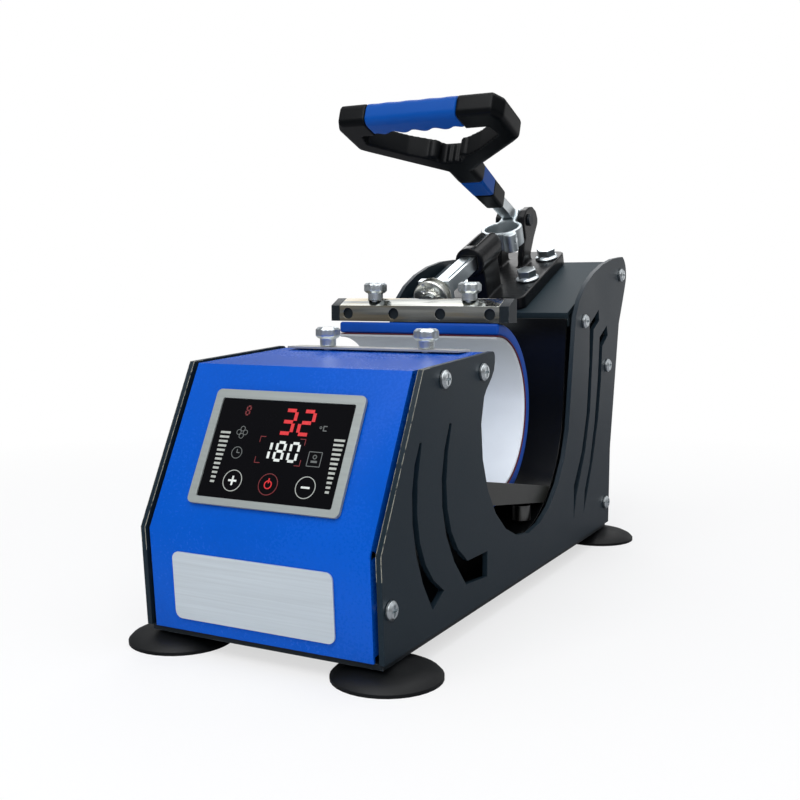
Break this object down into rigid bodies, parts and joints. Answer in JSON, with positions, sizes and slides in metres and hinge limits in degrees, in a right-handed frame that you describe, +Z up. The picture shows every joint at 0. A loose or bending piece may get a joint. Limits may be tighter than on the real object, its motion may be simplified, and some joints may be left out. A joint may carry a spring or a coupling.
{
  "type": "mug heat press",
  "caption": "Free-standing press for mugs: a round well in a sheet-metal body, a heated wrap between two clamp bars, and a toggle lever with a D handle that closes it.",
  "frame": {"origin": "on the table under the middle of the overall length and width", "axes": "+X to the right seen from the display, +Y to the rear, +Z up"},
  "size_m": [0.1842, 0.4078, 0.3064],
  "materials": {
    "black_steel": "satin black powder coat",
    "blue_steel": "satin blue powder coat",
    "zinc_steel": "bright zinc",
    "bright_chrome": "polished",
    "black_casting": "painted casting",
    "black_rubber": "matte",
    "blue_silicone": "matte silicone",
    "white_lining": "matte lining",
    "grey_bezel": "satin",
    "black_glass": "gloss, printed from behind",
    "silver_plate": "brushed foil, bare",
    "green_board": "solder mask",
    "black_plastic": "moulded",
    "blue_plastic": "moulded"
  },
  "bodies": {
    "frame": {"side_panel_right": "black_steel", "side_panel_left": "black_steel", "well_liner": "black_steel", "lever_deck": "black_steel", "rear_cover": "black_steel", "base_plate": "black_steel", "wrap_cradle": "black_steel", "lower_clamp_bar": "black_steel", "fork_pin": "black_steel", "front_cover": "blue_steel", "top_shelf": "blue_steel", "panel_screw_right_brow": "zinc_steel", "panel_screw_right_nose": "zinc_steel", "panel_screw_right_toe": "zinc_steel", "panel_screw_right_deck": "zinc_steel", "panel_screw_right_back": "zinc_steel", "panel_screw_right_heel": "zinc_steel", "panel_screw_right_crest": "zinc_steel", "panel_screw_left_brow": "zinc_steel", "panel_screw_left_nose": "zinc_steel", "panel_screw_left_toe": "zinc_steel", "panel_screw_left_deck": "zinc_steel", "panel_screw_left_back": "zinc_steel", "panel_screw_left_heel": "zinc_steel", "panel_screw_left_crest": "zinc_steel", "flange_bolt_front_right": "zinc_steel", "flange_bolt_front_left": "zinc_steel", "flange_bolt_rear_right": "zinc_steel", "flange_bolt_rear_left": "zinc_steel", "lower_clamp_strip": "bright_chrome", "cradle_bolt_right": "bright_chrome", "cradle_bolt_left": "bright_chrome", "clamp_base": "black_casting", "suction_foot_front_right": "black_rubber", "suction_foot_front_left": "black_rubber", "suction_foot_rear_right": "black_rubber", "suction_foot_rear_left": "black_rubber", "heating_wrap": "blue_silicone", "wrap_lining": "white_lining", "display_bezel": "grey_bezel", "display_glass": "black_glass", "name_plate": "silver_plate", "control_board": "green_board", "power_inlet": "black_plastic"},
    "lever": {"lever_yoke": "zinc_steel", "lever_bar": "zinc_steel", "handle_body": "black_plastic", "handle_band": "blue_plastic", "handle_grip": "blue_plastic"},
    "clamp_carriage": {"push_rod": "zinc_steel", "push_bracket": "zinc_steel", "upper_clamp_bar": "black_steel", "upper_clamp_channel": "bright_chrome"},
    "pressure_nut": {"pressure_disc": "bright_chrome"},
    "upper_knob_right": {"upper_clamp_knob_right": "zinc_steel"},
    "upper_knob_left": {"upper_clamp_knob_left": "zinc_steel"},
    "lower_knob_right": {"lower_clamp_knob_right": "zinc_steel"},
    "lower_knob_left": {"lower_clamp_knob_left": "zinc_steel"},
    "link": {"toggle_link": "zinc_steel"},
    "rocker": {"rocker_switch": "black_plastic"}
  },
  "joints": [
    {"name": "lever_hinge", "type": "hinge", "parent": "frame", "child": "lever", "pos_m": [0, 0.14876, 0.24307], "axis": [-1, 0, 0], "range_deg": [0, 45]},
    {"name": "link_hinge", "type": "hinge", "parent": "lever", "child": "link", "pos_m": [0, 0.11396, 0.22642], "axis": [1, 0, 0], "range_deg": [0, 86]},
    {"name": "clamp_slide", "type": "slide", "parent": "frame", "child": "clamp_carriage", "axis": [0, 0.9272, 0.3746], "range_m": [0, 0.0182], "deforming": ["heating_wrap", "wrap_lining"]},
    {"name": "pressure_turn", "type": "hinge", "parent": "clamp_carriage", "child": "pressure_nut", "pos_m": [0, 0.00597, 0.18538], "axis": [0, 0.9272, 0.3746], "continuous": true},
    {"name": "upper_knob_right_turn", "type": "hinge", "parent": "clamp_carriage", "child": "upper_knob_right", "pos_m": [0.0334, -0.01025, 0.187], "axis": [0, 0, 1], "continuous": true},
    {"name": "upper_knob_left_turn", "type": "hinge", "parent": "clamp_carriage", "child": "upper_knob_left", "pos_m": [-0.0334, -0.01025, 0.187], "axis": [0, 0, 1], "continuous": true},
    {"name": "lower_knob_right_turn", "type": "hinge", "parent": "frame", "child": "lower_knob_right", "pos_m": [0.033, -0.0704, 0.163], "axis": [0, 0, 1], "continuous": true},
    {"name": "lower_knob_left_turn", "type": "hinge", "parent": "frame", "child": "lower_knob_left", "pos_m": [-0.033, -0.0704, 0.163], "axis": [0, 0, 1], "continuous": true},
    {"name": "rocker_tilt", "type": "hinge", "parent": "frame", "child": "rocker", "pos_m": [-0.022, 0.16615, 0.0565], "axis": [-1, 0, 0], "range_deg": [0, 20]}
  ],
  "couplings": [
    {"joint": "clamp_slide", "follows": "lever_hinge", "m_per_rad": 0.023046},
    {"joint": "link_hinge", "follows": "lever_hinge", "ratio": 1.9}
  ]
}
